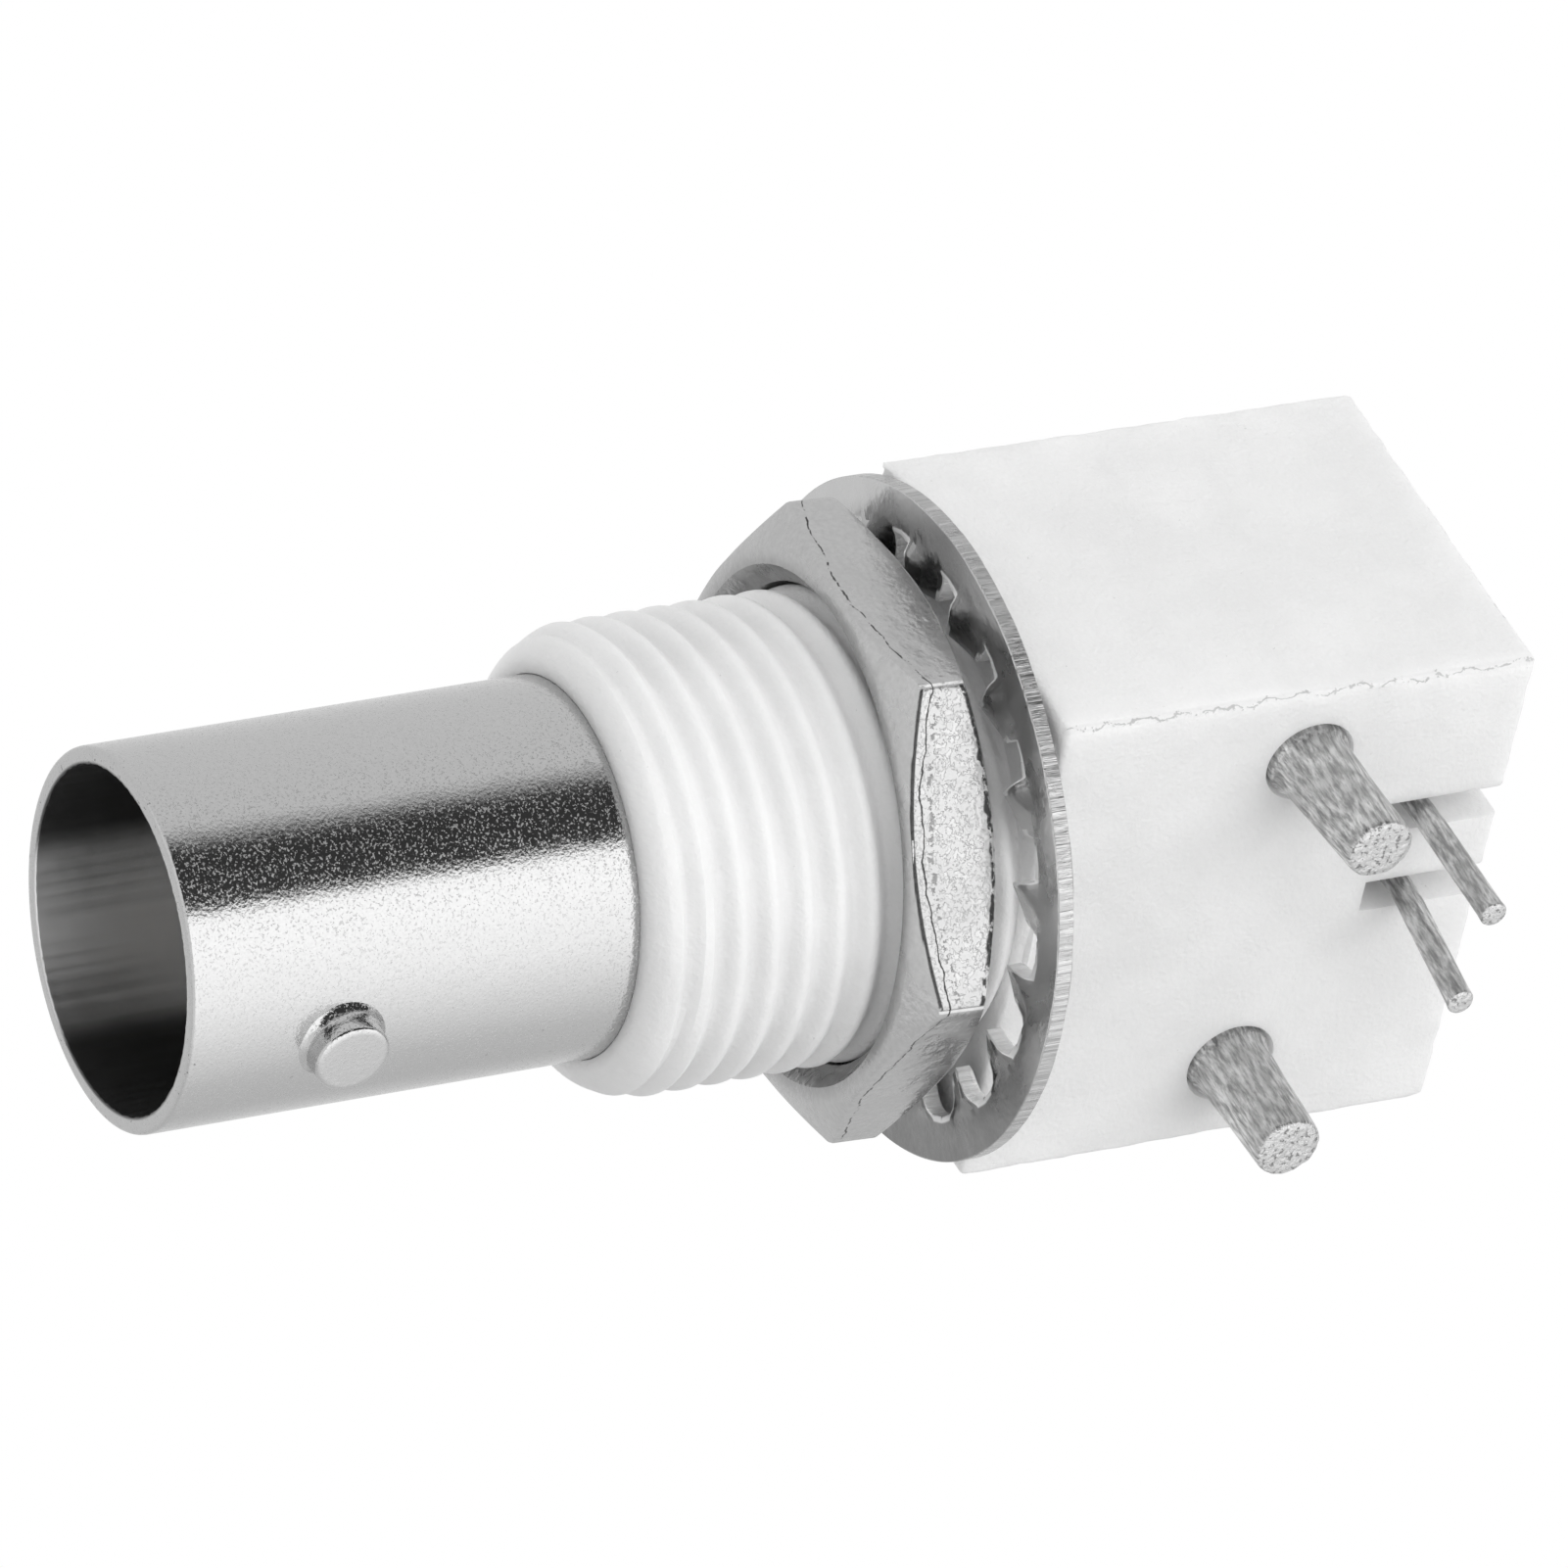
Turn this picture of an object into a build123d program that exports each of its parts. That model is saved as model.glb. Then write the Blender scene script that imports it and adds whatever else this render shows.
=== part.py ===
"""Right-angle coaxial bayonet jack for a circuit board, with an insulated plastic body.

Millimetres. The origin is on the board face, midway between the two board posts.
X runs across the block, Y from the shell's mouth towards the block's back, Z up from the board.
"""
from build123d import *
import os
from math import cos, radians, sqrt

# Block and bushing: one white moulding
axis_height = 5.8            # board face to the axis of the shell
block_width = 14.6
block_depth = 13.1
block_above_axis = 4.8
block_edge_radius = 0.2
post_setback = 7.1           # block front to the line of the board posts
bushing_length = 10.0
bushing_wall = 1.13          # from the shell's bore to the thread's crests
bushing_lead_length = 1.4    # cone at the bushing's front end
bushing_lead_height = 0.9

# Right-hand thread on the bushing
thread_pitch = 0.907
thread_depth = 0.36
thread_crest_width = 0.25    # flat left between two turns of the groove
thread_root_width = 0.2
thread_over_cut = 0.1        # how far the cutter stands out past the crests
thread_run_in = 1.32         # the cutter starts this far in front of the bushing
thread_run_out = 0.4         # and leaves this much uncut in front of the block

# Bayonet shell
shell_reach = 12.0           # mouth to the bushing's front end
shell_radius = 4.8
shell_lip_bevel = 0.12
shell_wall = 0.45            # at the mouth
mouth_bore_depth = 4.9
mouth_taper_length = 0.5
plug_bore_step = 0.275       # how much smaller in radius the plug bore is than the mouth
plug_bore_end = 21.0         # mouth to the shoulder at the end of the plug bore
shell_tail_length = 5.5      # behind the block's front
shell_tail_radius = 3.8
tail_bore_radius = 2.6
lug_radius = 0.98
lug_height = 0.7
lug_from_mouth = 4.12
lug_edge_bevel = 0.1

# Insulator and contacts
nose_radius = 2.4
nose_from_mouth = 4.9
nose_length = 5.1
socket_radius = 1.05
socket_bore_radius = 0.7
socket_bore_depth = 5.0
socket_length = 7.9          # length of the sprung front part
socket_inset = 0.2           # behind the insulator's nose
socket_slot_width = 0.2
socket_slot_length = 4.0
contact_stem_radius = 0.9
contact_stem_length = 11.0
wire_radius = 0.32
wire_seat_depth = 3.0        # how far the signal wire goes into the contact stem
wire_straight_top = 0.1      # the bend ends this far above the board face
wire_drop = 4.0              # below the board face
pin_row_offset = 3.81        # board posts to the row of thin pins
pin_pitch = 2.54
ground_seat_depth = 1.5      # how far the ground wire goes into the shell's rear rim

# Slots for the thin pins, open at the board face and at the back
slot_width = 0.95
slot_start = 2.65            # board posts to the slots' front wall
slot_over_wire = 0.3

# Board posts
post_pitch = 10.16
post_radius = 0.9
post_drop = 3.4
post_tip_bevel = 0.08
post_shank_step = 0.18       # the pressed shank is thicker than the free post, in radius
post_flare_length = 0.2
post_depth = 6.0
post_recess_width = 0.15     # round the post's hole
post_recess_depth = 0.3

# Panel nut
nut_wall = 1.0               # bore to flat
nut_thickness = 2.1
nut_back_to_block = 1.3
nut_rest_angle = 4.7         # a corner's angle past straight up
nut_chamfer_drop = 0.4
nut_countersink = 0.5
nut_clearance = 0.05

# Lock washer with inward teeth
washer_play = 0.47           # thread's crests to the tooth tips, in radius
washer_tooth_length = 0.58
washer_ring_width = 1.5
washer_thickness = 0.4
washer_standoff = 0.22
washer_drop = 0.35           # it hangs loose, so it lies a little low
tooth_count = 18
tooth_tip_width = 1.1
tooth_root_width = 1.6
tooth_overlap = 0.25         # how far a tooth's root runs into the ring
tooth_twist = 13.0
tooth_rest_angle = 8.5

fit_gap = 0.02               # radial gap between pieces pressed or slid together

# Places that follow from the sizes above
block_front = -post_setback
block_back = block_front + block_depth
block_top = axis_height + block_above_axis
bushing_front = block_front - bushing_length
mouth = bushing_front - shell_reach
shell_rear = block_front + shell_tail_length
mouth_bore_radius = shell_radius - shell_wall
plug_bore_radius = mouth_bore_radius - plug_bore_step
plug_bore_floor = mouth + plug_bore_end
nose_front = mouth + nose_from_mouth
insulator_shoulder = nose_front + nose_length
socket_front = nose_front + socket_inset
stem_front = socket_front + socket_length
stem_rear = stem_front + contact_stem_length
signal_start = stem_rear - wire_seat_depth
ground_start = shell_rear - ground_seat_depth
wire_hole_radius = wire_radius + fit_gap
rim_middle_radius = (shell_tail_radius + tail_bore_radius) / 2
ground_height = axis_height - sqrt(rim_middle_radius**2 - pin_pitch**2)
bushing_radius = shell_radius + fit_gap + bushing_wall
nut_bore_radius = bushing_radius + nut_clearance
nut_flat_radius = nut_bore_radius + nut_wall
nut_corner_radius = nut_flat_radius / cos(radians(30))
washer_tooth_radius = bushing_radius + washer_play
washer_ring_radius = washer_tooth_radius + washer_tooth_length
washer_outer_radius = washer_ring_radius + washer_ring_width
post_shank_radius = post_radius + post_shank_step
post_hole_radius = post_shank_radius + fit_gap

main_axis = Axis((0, 0, axis_height), (0, 1, 0))


def rod(radius, start, end, x=0.0, z=axis_height):
    """A cylinder along Y from start to end."""
    return Pos(x, (start + end) / 2, z) * Rot(90, 0, 0) * Cylinder(radius, end - start)


def upright(radius, bottom, top, x, y):
    """A cylinder along Z from bottom to top."""
    return Pos(x, y, (bottom + top) / 2) * Cylinder(radius, top - bottom)


def turned(points):
    """A solid of revolution about the shell's axis from (radius, y) points."""
    corners = [(radius, y, axis_height) for radius, y in points]
    return revolve(make_face(Polyline(*corners, close=True)), axis=main_axis)


def bent_wire(x, start, height, radius=wire_radius):
    """A wire that runs back along Y and curves down through the board face."""
    path = FilletPolyline(
        (x, start, height),
        (x, pin_row_offset, height),
        (x, pin_row_offset, -wire_drop),
        radius=height - wire_straight_top,
    )
    section = Plane((x, start, height), z_dir=(0, 1, 0)) * Circle(radius)
    return sweep(section, path=path)


def thread_groove():
    """The groove between the thread's crests, wound along the bushing."""
    start = bushing_front - thread_run_in
    height = block_front - thread_run_out - start
    centre = (0, start, axis_height)
    path = Helix(thread_pitch, height, bushing_radius, center=centre, direction=(0, 1, 0))
    half_root = thread_root_width / 2
    half_top = (thread_pitch - thread_crest_width) / 2
    flank = (half_top - half_root) / thread_depth
    root = bushing_radius - thread_depth
    clear = bushing_radius + thread_over_cut
    half_clear = half_top + flank * thread_over_cut
    outline = Polyline(
        (root, -half_root),
        (clear, -half_clear),
        (clear, half_clear),
        (root, half_root),
        close=True,
    )
    section = Plane(centre, x_dir=(0, 0, 1), z_dir=(-1, 0, 0)) * make_face(outline)
    return sweep(section, path=path, is_frenet=True)


def bushing():
    """The threaded bushing with the cone at its front end."""
    back = block_front + block_edge_radius
    blank = rod(bushing_radius, bushing_front - 2 * thread_run_in, back)
    kept = turned([
        (0, back),
        (0, bushing_front),
        (bushing_radius - bushing_lead_height, bushing_front),
        (bushing_radius + bushing_lead_height, bushing_front + 2 * bushing_lead_length),
        (bushing_radius + bushing_lead_height, back),
    ])
    return (blank - thread_groove()) & kept


def housing():
    """The block and the bushing, with the bores, pin slots and post holes."""
    middle = (block_front + block_back) / 2
    block = Pos(0, middle, block_top / 2) * Box(block_width, block_depth, block_top)
    block = fillet(block.edges(), block_edge_radius)
    body = block + bushing()
    body -= rod(shell_radius + fit_gap, bushing_front, block_front)
    body -= rod(shell_tail_radius + fit_gap, block_front, shell_rear)
    wires = ((0.0, signal_start, axis_height), (pin_pitch, ground_start, ground_height))
    for x, start, height in wires:
        slot_top = height + wire_radius + slot_over_wire
        slot_length = block_back - slot_start
        slot = Box(slot_width, slot_length, slot_top)
        body -= Pos(x, slot_start + slot_length / 2, slot_top / 2) * slot
        body -= bent_wire(x, start, height, wire_hole_radius)
    for side in (-1, 1):
        x = side * post_pitch / 2
        body -= upright(post_hole_radius, 0, post_depth, x, 0)
        body -= upright(post_hole_radius + post_recess_width, 0, post_recess_depth, x, 0)
    return body


def bayonet_shell():
    """The metal barrel with its two lugs, its plug bore and its rear rim."""
    shell = turned([
        (mouth_bore_radius, mouth),
        (shell_radius - shell_lip_bevel, mouth),
        (shell_radius, mouth + shell_lip_bevel),
        (shell_radius, block_front),
        (shell_tail_radius, block_front),
        (shell_tail_radius, shell_rear),
        (tail_bore_radius, shell_rear),
        (tail_bore_radius, plug_bore_floor),
        (plug_bore_radius, plug_bore_floor),
        (plug_bore_radius, mouth + mouth_bore_depth + mouth_taper_length),
        (mouth_bore_radius, mouth + mouth_bore_depth),
    ])
    root = (mouth_bore_radius + shell_radius) / 2
    tip = shell_radius + lug_height
    lug_y = mouth + lug_from_mouth
    lug = Pos(0, 0, (root + tip) / 2) * Cylinder(lug_radius, tip - root)
    lug = chamfer(lug.edges().filter_by(GeomType.CIRCLE).sort_by(Axis.Z)[-1], lug_edge_bevel)
    for turn in (0, 180):
        shell += Pos(0, lug_y, axis_height) * Rot(0, turn, 0) * lug
    return shell - bent_wire(pin_pitch, ground_start, ground_height, wire_hole_radius)


def insulator():
    """The dielectric sleeve that centres the contact in the shell."""
    body_radius = plug_bore_radius - fit_gap
    sleeve = turned([
        (socket_radius + fit_gap, nose_front),
        (nose_radius, nose_front),
        (nose_radius, insulator_shoulder),
        (body_radius, insulator_shoulder),
        (body_radius, plug_bore_floor),
        (tail_bore_radius - fit_gap, plug_bore_floor),
        (tail_bore_radius - fit_gap, shell_rear),
        (0, shell_rear),
        (0, stem_rear),
        (contact_stem_radius + fit_gap, stem_rear),
        (contact_stem_radius + fit_gap, stem_front),
        (socket_radius + fit_gap, stem_front),
    ])
    return sleeve - bent_wire(0.0, signal_start, axis_height, wire_hole_radius)


def center_socket():
    """The signal contact: a slotted socket in front and a solid stem behind."""
    socket = rod(socket_radius, socket_front, stem_front)
    socket += rod(contact_stem_radius, stem_front, stem_rear)
    socket -= rod(socket_bore_radius, socket_front, socket_front + socket_bore_depth)
    slot_middle = socket_front + socket_slot_length / 2
    for turn in (0, 90):
        slot = Box(3 * socket_radius, socket_slot_length, socket_slot_width)
        socket -= Pos(0, slot_middle, axis_height) * Rot(0, turn, 0) * slot
    return socket - rod(wire_hole_radius, signal_start, stem_rear)


def signal_pin():
    """The bent wire from the contact's stem to the board."""
    return bent_wire(0.0, signal_start, axis_height)


def ground_pin():
    """The bent wire from the shell's rear rim to the board."""
    return bent_wire(pin_pitch, ground_start, ground_height)


def board_post(side):
    """A round post with a thicker shank, pressed into the block from the board face."""
    outline = [
        (0, -post_drop),
        (post_radius - post_tip_bevel, -post_drop),
        (post_radius, post_tip_bevel - post_drop),
        (post_radius, -post_flare_length),
        (post_shank_radius, 0),
        (post_shank_radius, post_depth),
        (0, post_depth),
    ]
    corners = [(radius, 0, z) for radius, z in outline]
    post = revolve(make_face(Polyline(*corners, close=True)), axis=Axis.Z)
    return Pos(side * post_pitch / 2, 0, 0) * post


def panel_nut():
    """The hexagon nut, bevelled and countersunk on both faces."""
    back = block_front - nut_back_to_block
    front = back - nut_thickness
    middle = (front + back) / 2
    hexagon = Rot(90, 0, 0) * RegularPolygon(nut_corner_radius, 6)
    prism = Pos(0, middle, axis_height) * Rot(0, -90 - nut_rest_angle, 0) * extrude(
        hexagon, nut_thickness / 2, both=True)
    lathe = turned([
        (nut_bore_radius + nut_countersink, front),
        (nut_flat_radius, front),
        (nut_corner_radius, front + nut_chamfer_drop),
        (nut_corner_radius, back - nut_chamfer_drop),
        (nut_flat_radius, back),
        (nut_bore_radius + nut_countersink, back),
        (nut_bore_radius, back - nut_countersink),
        (nut_bore_radius, front + nut_countersink),
    ])
    return prism & lathe


def lock_washer():
    """The flat ring with twisted teeth that point at the bushing."""
    back = block_front - washer_standoff
    front = back - washer_thickness
    centre = Pos(0, (front + back) / 2, axis_height - washer_drop)
    blank = Cylinder(washer_outer_radius, washer_thickness)
    ring = Rot(90, 0, 0) * (blank - Cylinder(washer_ring_radius, 2 * washer_thickness))
    root = washer_ring_radius + tooth_overlap
    outline = Polyline(
        (washer_tooth_radius, -tooth_tip_width / 2),
        (root, -tooth_root_width / 2),
        (root, tooth_root_width / 2),
        (washer_tooth_radius, tooth_tip_width / 2),
        close=True,
    )
    plate = extrude(make_face(outline), washer_thickness / 2, both=True)
    tooth = Rot(90, 0, 0) * Rot(tooth_twist, 0, 0) * plate
    for index in range(tooth_count):
        ring += Rot(0, tooth_rest_angle + index * 360 / tooth_count, 0) * tooth
    return centre * ring


nodes = {
    "housing": housing(),
    "bayonet_shell": bayonet_shell(),
    "insulator": insulator(),
    "center_socket": center_socket(),
    "signal_pin": signal_pin(),
    "ground_pin": ground_pin(),
    "board_post_left": board_post(-1),
    "board_post_right": board_post(1),
    "panel_nut": panel_nut(),
    "lock_washer": lock_washer(),
}

os.makedirs("parts", exist_ok=True)
for name, shape in nodes.items():
    export_step(shape, f"parts/{name}.step")
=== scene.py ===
import bmesh
import bpy
from math import atan2, cos, hypot, pi, radians, sin, tan
from mathutils import Matrix, Vector, noise

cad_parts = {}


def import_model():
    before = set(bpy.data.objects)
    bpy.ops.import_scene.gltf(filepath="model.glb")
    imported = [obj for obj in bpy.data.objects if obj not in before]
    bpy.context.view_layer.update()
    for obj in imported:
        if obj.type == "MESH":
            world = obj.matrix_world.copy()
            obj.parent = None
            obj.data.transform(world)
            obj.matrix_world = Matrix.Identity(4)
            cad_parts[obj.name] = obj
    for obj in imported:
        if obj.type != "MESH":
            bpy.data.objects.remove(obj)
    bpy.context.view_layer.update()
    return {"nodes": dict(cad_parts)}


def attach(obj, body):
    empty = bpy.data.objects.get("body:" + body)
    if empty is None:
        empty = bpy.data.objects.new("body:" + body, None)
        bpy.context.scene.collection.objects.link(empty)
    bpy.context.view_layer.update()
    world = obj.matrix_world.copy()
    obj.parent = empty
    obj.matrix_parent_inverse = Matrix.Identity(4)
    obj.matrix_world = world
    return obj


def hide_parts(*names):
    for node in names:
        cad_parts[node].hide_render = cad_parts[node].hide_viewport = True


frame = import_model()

MM = 0.001
AXIS_HEIGHT = 5.8
MOUTH = -29.1
BUSHING_FRONT = -17.1
BLOCK_FRONT = -7.1
BLOCK_BACK = 6.0
BLOCK_SIDE = 7.3
BLOCK_TOP = 10.6
BLOCK_EDGE = 0.17
BLOCK_TAPER = 0.2
BUSHING_BACK = BLOCK_FRONT + 0.4
SHELL_REAR = -1.6
SHELL_RADIUS = 4.8
MOUTH_BORE = 4.35
PLUG_BORE = 4.075
PLUG_FLOOR = -8.1
TAIL_RADIUS = 3.8
TAIL_BORE = 2.6
LUG_Y = -24.98
LUG_RADIUS = 0.98
LUG_TIP = 5.5
CREST_RADIUS = 5.95
THREAD_PITCH = 0.907
THREAD_DEPTH = 0.32
NUT_FRONT = -10.58
NUT_BACK = -8.27
NUT_BORE = 6.0
NUT_FLAT = 7.0
NUT_CORNER = NUT_FLAT / cos(pi / 6)
NUT_CORNER_ANGLE = 34.7
COARSE_FLAT_ANGLE = -55.3
# how far the chamfer lies behind the nut's face at a flat's middle, and how much more at a corner
CHAMFER_AT_FLAT = 0.06
CHAMFER_TO_CORNER = 0.52
COUNTERSINK = 0.5
NUT_TILT = (-2.2, 0.75)
NUT_SHIFT = 0.02
THREAD_START = 0.555
WASHER_Y = -7.52
WASHER_Z = 5.45
WASHER_THICK = 0.44
WASHER_OUTER = 8.6
TOOTH_TIP = 6.42
TOOTH_ROOT = 7.4
TOOTH_COUNT = 18
TOOTH_TIP_HALF = radians(4.6)
TOOTH_ROOT_HALF = radians(6.6)
TOOTH_TWIST = 21.0
TWIST_REACH = 0.5
TOOTH_START = -8.5
# each post's place, then how far its end leans, both in X and Y
POSTS = {1: (4.92, 0.1, -0.12, 0.36), -1: (-4.95, 0.0, 0.05, 0.0)}
POST_END = -3.39
PIN_Y = 3.81
WIRE_RADIUS = 0.32
WIRE_END = -4.0
# each lead's X, the Y where it starts and its height inside the block
SIGNAL = (0.0, -8.1, 5.8)
GROUND = (2.54, -3.1, 3.854)
SIGNAL_LEAN = (-0.28, -0.3)
SLOT_START = 2.65
SLOT_WIDTH = 0.95
FLOOR_Z = -4.1
FLOOR_HALF = 3000.0
WORLD_LIGHT = 0.76
LAMP_AIM = Vector((0.0, -0.0115, 0.0055))
CAMERA_LENS = 447.3
CAMERA_PLACE = Vector((303.13, -216.47, -306.62))
CAMERA_RIGHT = Vector((0.17539, 0.89178, -0.41710))
CAMERA_BACK = Vector((0.62785, -0.42765, -0.65032))
FLAG_SIDE = Vector((-0.758, -0.148, -0.635))
# the tent's glow at angles round the barrel's axis
TENT = ((-180.0, 0.72), (-150.0, 0.84), (-120.0, 1.2), (-92.0, 1.56), (-62.0, 1.74), (-40.0, 1.74),
        (-36.5, 0.06), (-2.0, 0.05), (6.0, 0.45), (12.0, 0.86), (60.0, 0.88), (134.0, 0.82), (180.0, 0.72))


# Node helpers

SOCKET_KINDS = {float: "NodeSocketFloat", int: "NodeSocketInt", tuple: "NodeSocketVector"}
GEOMETRY = "NodeSocketGeometry"
ORIGIN = (0.0, 0.0, 0.0)


def node(tree, kind, inputs=None, **settings):
    """A node with its settings and inputs; an input is a plain value or another node's output."""
    made = tree.nodes.new(kind)
    for name, value in settings.items():
        setattr(made, name, value)
    for name, value in (inputs or {}).items():
        if isinstance(value, bpy.types.NodeSocket):
            tree.links.new(value, made.inputs[name])
        else:
            made.inputs[name].default_value = value
    return made


def calc(tree, operation, *values):
    """The result of one math node."""
    return node(tree, "ShaderNodeMath", dict(enumerate(values)), operation=operation).outputs[0]


def parts(tree, place):
    """The three coordinates of a place."""
    return node(tree, "ShaderNodeSeparateXYZ", {0: place}).outputs


def hypotenuse(tree, first, second):
    """The length that two values at right angles span."""
    squares = [calc(tree, "MULTIPLY", value, value) for value in (first, second)]
    return calc(tree, "SQRT", calc(tree, "ADD", *squares))


def ramp(tree, value, low, high, to_low=0.0, to_high=1.0):
    """A value smoothly remapped from low..high, and held outside it."""
    made = node(tree, "ShaderNodeMapRange", {"Value": value, "From Min": low, "From Max": high,
                "To Min": to_low, "To Max": to_high}, interpolation_type="SMOOTHSTEP")
    return made.outputs[0]


def noise_field(tree, place, scale, detail, rough=0.5):
    """A noise value over the surface."""
    return node(tree, "ShaderNodeTexNoise", {"Vector": place, "Scale": scale, "Detail": detail,
                "Roughness": rough}).outputs["Fac"]


def blend_colour(tree, factor, first, second):
    """Two greys or colours mixed by a factor."""
    made = node(tree, "ShaderNodeMix", data_type="RGBA")
    for index, value in ((0, factor), (6, first), (7, second)):
        if isinstance(value, bpy.types.NodeSocket):
            tree.links.new(value, made.inputs[index])
        else:
            made.inputs[index].default_value = value
    return made.outputs[2]


def grey(level):
    """A grey of one level, as a colour."""
    return (level, level, level, 1.0)


def group_tree(name, kind, inputs, output, output_kind="NodeSocketFloat"):
    """A node group, its input values and its output; an input's value sets its kind, or names it."""
    tree = bpy.data.node_groups.new(name, kind)
    for label, value in inputs.items():
        socket = value if isinstance(value, str) else SOCKET_KINDS[type(value)]
        made = tree.interface.new_socket(label, in_out="INPUT", socket_type=socket)
        if socket != value:
            made.default_value = value
    tree.interface.new_socket(output, in_out="OUTPUT", socket_type=output_kind)
    return tree, tree.nodes.new("NodeGroupInput").outputs, tree.nodes.new("NodeGroupOutput").inputs


# Shared shader groups

def specks_group():
    """Scattered specks: a mask that is 1 on the specks."""
    tree, given, out = group_tree("Specks", "ShaderNodeTree", {
        "Vector": ORIGIN, "Scale": 4.0, "Cover": 0.4, "Softness": 0.05}, "Mask")
    field = noise_field(tree, given["Vector"], given["Scale"], 5.0, 0.62)
    edge = calc(tree, "SUBTRACT", 1.0, given["Cover"])
    top = calc(tree, "ADD", edge, given["Softness"])
    tree.links.new(ramp(tree, field, edge, top), out["Mask"])
    return tree


def tone_group():
    """Slow unevenness of a surface, remapped between two values."""
    tree, given, out = group_tree("Uneven tone", "ShaderNodeTree", {
        "Vector": ORIGIN, "Scale": 0.5, "Low": 0.0, "High": 1.0}, "Value")
    field = noise_field(tree, given["Vector"], given["Scale"], 3.0)
    tree.links.new(ramp(tree, field, 0.3, 0.7, given["Low"], given["High"]), out["Value"])
    return tree


def streaks_group():
    """Streaks drawn out along one axis by a stretch of the coordinates."""
    tree, given, out = group_tree("Drawn streaks", "ShaderNodeTree", {
        "Vector": ORIGIN, "Stretch": (1.0, 1.0, 0.1), "Scale": 5.0}, "Value")
    pulled = node(tree, "ShaderNodeVectorMath", {0: given["Vector"], 1: given["Stretch"]},
                  operation="MULTIPLY").outputs[0]
    field = noise_field(tree, pulled, given["Scale"], 4.0, 0.6)
    tree.links.new(ramp(tree, field, 0.33, 0.67), out["Value"])
    return tree


def edge_line_group():
    """A thin wavering line along the edge between two faces, from the distances to both."""
    tree, given, out = group_tree("Edge line", "ShaderNodeTree", {
        "First distance": 0.0, "Second distance": 0.0, "Width": 0.03, "Waver": 0.0, "Specks": 1.0}, "Mask")
    across = calc(tree, "ADD", given["First distance"], given["Second distance"])
    off = calc(tree, "ABSOLUTE", calc(tree, "SUBTRACT", across, given["Waver"]))
    line = ramp(tree, off, given["Width"], calc(tree, "MULTIPLY", given["Width"], 0.4))
    near = ramp(tree, hypotenuse(tree, given["First distance"], given["Second distance"]), 0.4, 0.25)
    masked = calc(tree, "MULTIPLY", calc(tree, "MULTIPLY", line, near), given["Specks"])
    tree.links.new(masked, out["Mask"])
    return tree


SPECKS = specks_group()
TONE = tone_group()
STREAKS = streaks_group()
EDGE_LINE = edge_line_group()


def use(tree, group, place=None, **inputs):
    """The output of a shared group with its values; underscores in names stand for spaces."""
    values = {name.replace("_", " "): value for name, value in inputs.items()}
    if place is not None:
        values["Vector"] = place
    return node(tree, "ShaderNodeGroup", values, node_tree=group).outputs[0]


# Materials

def new_material(name):
    """A material and its nodes."""
    made = bpy.data.materials.new(name)
    made.use_nodes = True
    return made, made.node_tree


def principled(name, **values):
    """A Principled material with its uniform values; underscores in names stand for spaces."""
    made, tree = new_material(name)
    shader = tree.nodes["Principled BSDF"]
    for label, value in values.items():
        shader.inputs[label.replace("_", " ")].default_value = value
    return made, tree, shader


def start_material(name, **values):
    """A Principled material, and the object's coordinates in millimetres."""
    made, tree, shader = principled(name, **values)
    place = node(tree, "ShaderNodeTexCoord").outputs["Object"]
    scaled = node(tree, "ShaderNodeMapping", {"Vector": place, "Scale": (1000.0, 1000.0, 1000.0)})
    return made, tree, shader, scaled.outputs[0]


def relief(tree, shader, height, depth):
    """Bump of a given depth in millimetres."""
    bump = node(tree, "ShaderNodeBump", {"Height": height, "Distance": depth * MM, "Strength": 1.0})
    tree.links.new(bump.outputs[0], shader.inputs["Normal"])


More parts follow.
